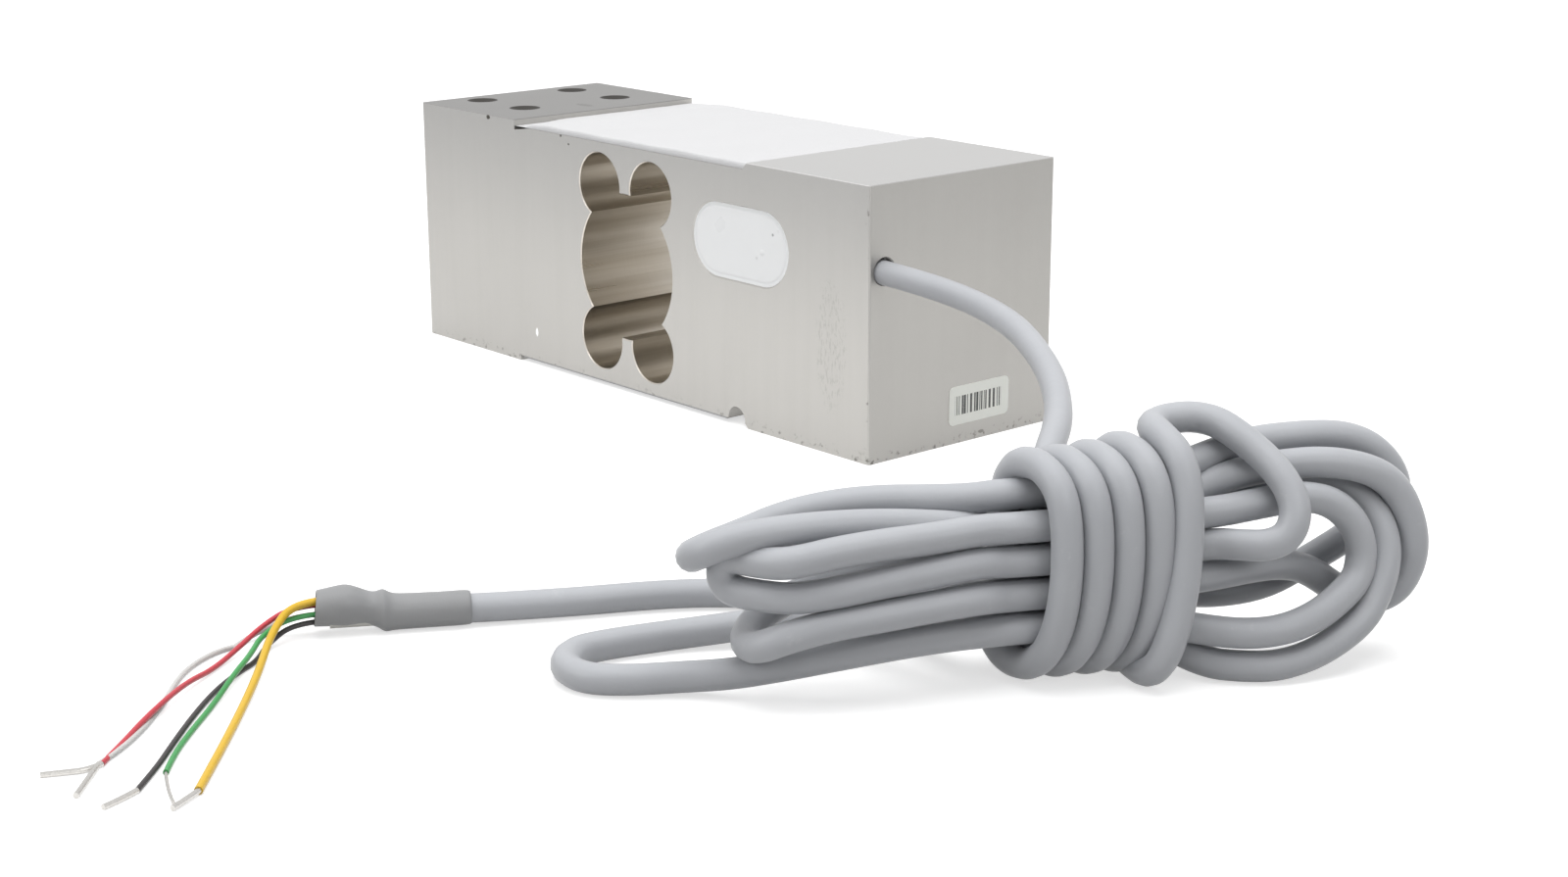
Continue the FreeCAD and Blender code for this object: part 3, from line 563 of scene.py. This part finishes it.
# The low loop lies on the floor, out to the left.
route += bent((-25, 3.5, 11.4), (-36, 4, 10.7), (-46, 3, 9.2), (-55, 0.5, 7.2), (-64, -3.6, 4.8),
              (-73, -8, 3.4), (-83, -9.5, 3.1), (-90, -12.5, 3), (-93, -19.5, 3), (-90, -27, 3),
              (-83, -29.5, 3), (-74.6, -31, 3), (-66, -32, 3.1), (-52, -30, 4.6), (-36, -20, 9.5),
              (-24, -9, 14.5))
route += strand("back", 16.2, False)
# The outer fold on the right.
route += bent((22, -4, 14), (32, -4.5, 12.6), (43, -6.5, 12.8), (52, -8.5, 16), (59.5, -8.5, 20),
              (65.5, -8, 24), (69, -6.8, 27.4), (69.5, -6.5, 31), (67.6, -7, 35.5),
              (64, -7.5, 39.0), (59.4, -8, 41), (54.3, -8, 41.8), (48, -8, 41.9), (40, -8, 41.6),
              (31, -6.5, 40.2), (22, -4.2, 38))
route += strand("top", 36.0, True)
# The topmost fold on the left.
route += bent((-18, -4.8, 35.0), (-26, -6, 35.0), (-35, -7, 35.3), (-44, -8, 34.7),
              (-53, -9, 32.8), (-60.5, -9.6, 29.8), (-67.6, -9, 27.8), (-71.6, -4.4, 27.8),
              (-70.2, 0.4, 30.2), (-64, 1.6, 32.6), (-55, 1.6, 33.5), (-45.9, 1, 33.5),
              (-36.3, 0, 32.9), (-26.6, -1.2, 31.6), (-19, -2.6, 30.2))
route += strand("back", 29.2, False)
# The next fold on the right, which comes back inside the others.
route += bent((22, -3.4, 32), (30, -3, 35.8), (36.5, -2, 37.6), (43, -1, 38.6), (50, 0, 39),
              (57, 0.8, 38), (62.5, 1.2, 35.7), (66, 1.8, 32), (68.2, 2.5, 27), (69, 3, 22),
              (68.6, 2.4, 17), (66.6, 1.4, 12.4), (62.8, -0.4, 10), (58, -2, 10.8),
              (53.6, -2.2, 14), (48.6, -1.2, 17.4), (42.6, 0.6, 19.4), (36.4, 2, 19.7),
              (28, 3.4, 19.2))
route += strand("front", 18.2, True)
# The lowest fold on the left.
route += bent((-19, 6, 19.1), (-29, 7, 18.6), (-38, 8, 18.0), (-47.5, 8, 17.1),
              (-55.5, 6.8, 15.0), (-60.6, 4.4, 12.4), (-62, -0.6, 11.6), (-60, -6, 12.8),
              (-54.5, -8.6, 16), (-45, -8, 19.5), (-32, -6, 21.8), (-20, -4.5, 22.6))
route += strand("back", 22.6, False)
# The front fold on the right.
route += bent((24, -5, 26.5), (34, -6, 31), (43, -6, 33), (53, -5, 33.6), (57.6, -3.4, 32.4),
              (60.4, -1, 30), (62.1, 1.9, 26.8), (62.7, 4, 22.4), (61.7, 5.7, 18),
              (59.5, 7.2, 13.7), (56.5, 8.5, 9.8), (51, 10, 6.6), (44.5, 11.5, 4.3),
              (37.5, 12.3, 3.2), (31, 10.5, 3.1), (25, 7.5, 3.3), (18, 2, 6.5))
route += strand("back", 9.8, True)
# Out at the back and on to the sleeve.
route += bent((-26, -24, 4.2), (-40, -46, 3.2), (-58, -56, 3.1))
route += [in_sleeve(-12, 0, -1.1), in_sleeve(11.5, 0, -0.55)]


def cord_curve(name, points, diameter, smooth):
    """A round cord on one open NURBS spline whose control points are the route's."""
    data = bpy.data.curves.new(name, "CURVE")
    data.dimensions = "3D"
    data.bevel_depth = diameter / 2
    data.bevel_resolution = 5
    data.use_fill_caps = True
    data.resolution_u = smooth
    spline = data.splines.new("NURBS")
    spline.points.add(len(points) - 1)
    for point, place in zip(spline.points, points):
        point.co = (*place, 1.0)
    spline.order_u = 3
    spline.use_endpoint_u = True
    made = bpy.data.objects.new(name, data)
    bpy.context.scene.collection.objects.link(made)
    return made


def cable_finish():
    """Matt grey PVC: slight cloudiness, fine extrusion ripple, dusty scuffs and handling marks."""
    pvc = Finish("grey_pvc", Specular_IOR_Level=0.42, Sheen_Weight=0.08, Sheen_Roughness=0.5)
    cloud = pvc.noise(60, detail=4)
    speck = pvc.noise(900, detail=2)
    scuff = pvc.noise(210, detail=6, roughness=0.7).ease(0.60, 0.74)
    colour = pvc.blend(cloud, (0.365, 0.375, 0.398), (0.415, 0.425, 0.445))
    colour = pvc.blend(scuff * 0.35, colour, (0.50, 0.505, 0.515))
    ripple = pvc.noise(160, detail=2) * 0.7 + speck * 0.3
    return pvc.finish(colour, 0.33 + 0.12 * cloud + 0.12 * scuff, ripple, bump=0.18, depth=0.0006)


cable = cord_curve("cable", route, CABLE_DIAMETER, 10)
cable.data.materials.append(cable_finish())
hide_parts("cable_lead", "cable_hank", "cable_low_loop", "cable_tail")
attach(cable, "root")

# ---------------------------------------------------------------- heat-shrink sleeve
# A short grey heat-shrink sleeve over the cable's stripped end. It grips the jacket, bulges over
# the folded-back screen and narrows again where the five leads come out. The cores run through it
# in a soft filler.

SLEEVE_SHAPE = [  # along the axis, radius, lift above the axis
    (0.0, 3.08, -0.55), (0.05, 3.3, -0.55), (0.4, 3.47, -0.55), (1.6, 3.6, -0.55),
    (5.0, 3.56, -0.55), (9.0, 3.54, -0.55), (13.0, 3.56, -0.52), (15.4, 3.64, -0.45),
    (16.4, 3.98, -0.25), (17.0, 4.22, -0.05), (17.6, 4.2, 0.1), (18.4, 3.72, 0.28),
    (19.4, 3.4, 0.4), (21.0, 3.55, 0.9), (22.8, 3.98, 1.35), (24.5, 4.25, 1.6), (26.0, 4.15, 1.55),
    (28.5, 3.85, 1.4), (30.4, 3.66, 1.3), (30.8, 3.55, 1.28), (30.7, 3.35, 1.27),
    (29.6, 3.25, 1.3), (26.0, 3.3, 1.4)]
SLEEVE_AROUND = 48
JACKET_RADIUS = 3.1  # rings up to this size sit on the jacket and stay round
MOUTH_FROM = 24  # from here on the rings lean, up to the slanting mouth
FLOOR_BELOW = -4.15  # the floor, from the sleeve's axis


def sleeve_rings():
    """Rings along the sleeve's axis, a little out of round where the film has shrunk unevenly."""
    shape = bmesh.new()
    rings = []
    for along, radius, lift in SLEEVE_SHAPE:
        ring = []
        for step in range(SLEEVE_AROUND):
            angle = 2 * math.pi * step / SLEEVE_AROUND
            uneven = 1 + 0.012 * math.sin(2 * angle + along * 0.3)
            uneven += 0.008 * math.sin(5 * angle - along)
            reach = radius * (uneven if radius > JACKET_RADIUS else 1)
            lean = 0.12 * reach * math.sin(angle) * max(0.0, along - MOUTH_FROM) / 7
            ring.append(shape.verts.new(in_sleeve(
                along - lean, reach * math.cos(angle),
                max(FLOOR_BELOW, lift + reach * math.sin(angle)))))
        rings.append(ring)
    for first, second in zip(rings, rings[1:]):
        for step in range(SLEEVE_AROUND):
            after = (step + 1) % SLEEVE_AROUND
            shape.faces.new((first[step], first[after], second[after], second[step]))
    return shape


def sleeve_finish():
    """Grey polyolefin film, slightly shinier than the jacket, with faint lengthwise creases."""
    film = Finish("grey_film", Specular_IOR_Level=0.5)
    cloud = film.noise(70, detail=3)
    colour = film.blend(cloud, (0.232, 0.235, 0.24), (0.27, 0.273, 0.278))
    return film.finish(colour, 0.34 + 0.12 * cloud, film.noise(420, detail=4),
                       bump=0.2, depth=0.0004)


sleeve = made_from("sleeve", sleeve_rings(), sleeve_finish(), smooth=True)
smoother = sleeve.modifiers.new("smooth", "SUBSURF")
smoother.levels = smoother.render_levels = 1
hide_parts("heat_shrink_sleeve")
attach(sleeve, "root")
refinish(["core_bundle"], speckled("filler", (0.55, 0.54, 0.50), (0.70, 0.69, 0.66), 900, 0.6))

# ---------------------------------------------------------------- leads
# Five stripped leads fan out of the sleeve: four PVC-insulated cores and the screen in a thicker
# yellow sleeve. Each ends in a few millimetres of tinned copper strands.

LEADS = {  # diameter, where it leaves the sleeve (sideways, up), its run, its bared end
    "yellow": (0.0016, (0.6, 3.0), [
        (112.8, -207.6, 3.6), (123.9, -216.6, 1.8), (133.1, -224.3, 1.1), (145.0, -234.4, 0.85),
        (157.6, -245.3, 0.85), (165.8, -252.5, 0.85)],
        [(167.2, -255.0, 0.8), (168.9, -259.0, 0.6)]),
    "green": (0.0011, (1.2, 0.5), [
        (110.0, -208.2, 2.6), (116.2, -214.0, 2.0), (123.6, -221.9, 1.9), (132.0, -231.0, 0.6),
        (140.5, -240.0, 0.6), (148.2, -247.6, 0.6), (154.6, -252.6, 0.6)],
        [(161.2, -255.9, 0.5), (166.6, -257.6, 0.45)]),
    "black": (0.0011, (0.8, -1.2), [
        (110.8, -207.6, 0.7), (117.3, -213.4, 0.6), (120.2, -219.2, 0.6), (126.0, -227.4, 0.6),
        (134.4, -236.4, 0.6), (143.8, -245.5, 0.6), (152.0, -253.1, 0.6), (158.3, -259.9, 0.6)],
        [(159.6, -263.3, 0.5), (160.6, -267.3, 0.45)]),
    "red": (0.0011, (-0.9, 1.7), [
        (106.6, -206.0, 3.2), (110.4, -213.6, 1.4), (115.6, -222.0, 0.6), (120.4, -229.4, 1.6),
        (126.6, -237.2, 2.1), (132.4, -245.2, 1.5), (138.2, -252.6, 0.6), (143.8, -259.1, 0.6)],
        [(144.7, -261.9, 0.6), (142.9, -265.5, 0.5), (141.0, -269.1, 0.45)]),
    "white": (0.0011, (-1.4, -0.4), [
        (104.2, -206.4, 1.0), (107.8, -213.6, 0.6), (107.2, -212.0, 0.6), (107.3, -216.0, 0.6),
        (109.3, -221.1, 0.6), (113.0, -226.6, 0.6), (118.2, -231.6, 0.6), (124.9, -237.2, 0.6),
        (131.3, -243.3, 0.6), (137.0, -249.6, 0.6), (141.2, -255.4, 0.6), (143.6, -259.6, 0.6)],
        [(148.5, -264.1, 0.6), (153.4, -268.6, 0.55)]),
}
INSULATION = {
    "yellow": (0.66, 0.41, 0.012), "green": (0.035, 0.29, 0.07), "black": (0.015, 0.011, 0.012),
    "white": (0.56, 0.555, 0.54), "red": (0.52, 0.04, 0.06),
}
FINE_TIP = 0.0006  # the green lead's strands; the others are twisted and soldered thicker
SOLDERED_TIP = 0.0011


def insulation_finish(name):
    """Glossy PVC insulation in one plain colour, with a little dust and mould ripple."""
    pvc = Finish("insulation_" + name, Specular_IOR_Level=0.5)
    base = INSULATION[name]
    cloud = pvc.noise(300, detail=3)
    dusty = tuple(0.86 * part + 0.02 for part in base)
    return pvc.finish(pvc.blend(cloud, base, dusty), 0.30 + 0.15 * cloud,
                      pvc.noise(700, detail=2), bump=0.12, depth=0.0003)


def tinned_finish():
    """Twisted strands under solder: bright metal with slanting furrows and dull spots."""
    tin = Finish("tinned_copper", Metallic=1.0)
    spot = tin.noise(2500, detail=3)
    furrow = tin.noise(1500, stretch=(1.0, -1.6, 0.6), detail=1)
    colour = tin.blend(spot, (0.50, 0.48, 0.45), (0.74, 0.73, 0.71))
    return tin.finish(colour, 0.25 + 0.25 * spot, furrow, bump=0.5, depth=0.0002)


def metres(points):
    return [tuple(part / 1000 for part in point) for point in points]


tinned_copper = tinned_finish()
for colour, (diameter, (sideways, up), points, bare) in LEADS.items():
    fanned = metres(points)
    lead_route = [in_sleeve(28, sideways, up), in_sleeve(35, sideways, up)] + fanned
    lead = cord_curve("lead_" + colour + "_insulation", lead_route, diameter, 10)
    lead.data.materials.append(insulation_finish(colour))
    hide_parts("lead_" + colour)
    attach(lead, "root")
    tip = cord_curve("bared_" + colour, [fanned[-1]] + metres(bare),
                     FINE_TIP if colour == "green" else SOLDERED_TIP, 8)
    tip.data.materials.append(tinned_copper)
    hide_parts("tinned_end_" + colour)
    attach(tip, "root")
    in_sleeve(31, sideways, up)

# ---------------------------------------------------------------- floor and light
# A plain white floor under one large soft lamp overhead, with a weak one from the left and one
# from the right. The floor glows for the eye alone, so that it stays white and keeps the shadow.

FLOOR_REACH = 6
GLOW_NEAR = 0.62
AMBIENT = 0.19

floor_data = bpy.data.meshes.new("floor")
floor_data.from_pydata([(x * FLOOR_REACH, y * FLOOR_REACH, 0.0)
                        for x, y in ((-1, -1), (1, -1), (1, 1), (-1, 1))], [], [(0, 1, 2, 3)])
floor = bpy.data.objects.new("floor", floor_data)
bpy.context.scene.collection.objects.link(floor)

paint = Finish("floor_paint", Roughness=0.9, Specular_IOR_Level=0.1)
paint.feed(paint.shader.inputs["Base Color"], (0.52, 0.52, 0.52))
far = paint.node("VectorMath", {"operation": "LENGTH"}, {0: paint.place()}, "Value")
strength = paint.rays_to_eye() * (GLOW_NEAR + (1 - GLOW_NEAR) * far.ease(0.5, 1.3))
glow = paint.node("Emission", inputs={"Color": (1.0, 1.0, 1.0), "Strength": strength})
lit = Wire(paint, paint.shader.outputs[0])
paint.feed(paint.tree.nodes["Material Output"].inputs["Surface"],
           paint.node("AddShader", inputs={0: lit, 1: glow}))
floor_data.materials.append(paint.material)

world = bpy.data.worlds.new("studio")
bpy.context.scene.world = world
world.use_nodes = True
sky = Shading(world.node_tree)
background = sky.tree.nodes["Background"]
sky.feed(background.inputs["Color"], (1.0, 1.0, 1.0))
sky.feed(background.inputs["Strength"], AMBIENT + (1 - AMBIENT) * sky.rays_to_eye())


def lamp(name, place, target, size, power):
    """A soft rectangular lamp that faces its target."""
    data = bpy.data.lights.new(name, "AREA")
    data.shape = "RECTANGLE"
    data.size, data.size_y = size
    data.energy = power
    made = bpy.data.objects.new(name, data)
    bpy.context.scene.collection.objects.link(made)
    facing = (Vector(place) - Vector(target)).to_track_quat("Z", "Y").to_matrix().to_4x4()
    made.matrix_world = Matrix.Translation(place) @ facing
    return made


overhead = lamp("overhead", (0.10, -0.10, 1.3), (0.10, -0.10, 0.0), (1.4, 1.4), 26.0)
overhead.visible_glossy = False
lamp("front_left", (-0.2, -1.3, 0.8), (0.10, -0.10, 0.03), (0.9, 0.7), 5.0)
lamp("right", (1.5, -0.3, 0.9), (0.10, -0.05, 0.03), (0.8, 0.6), 3.5)

# ---------------------------------------------------------------- camera
# A studio camera a little above the bar's cable corner, about two thirds of a metre away, with a
# slightly long lens.

CAMERA_PLACE = (0.525608, -0.437123, 0.171707)
CAMERA_RIGHT = (0.66022, 0.75107, -0.00166)
CAMERA_UP = (-0.20083, 0.17866, 0.96320)
CAMERA_FORWARD = (-0.72372, 0.63559, -0.26880)

scene = bpy.context.scene
camera_data = bpy.data.cameras.new("camera")
camera_data.sensor_width = 36.0
camera_data.lens = 57.764
camera = bpy.data.objects.new("camera", camera_data)
scene.collection.objects.link(camera)
turn = Matrix((CAMERA_RIGHT, CAMERA_UP, -Vector(CAMERA_FORWARD))).transposed().to_4x4()
camera.matrix_world = Matrix.Translation(CAMERA_PLACE) @ turn
scene.camera = camera
scene.view_settings.view_transform = "Standard"
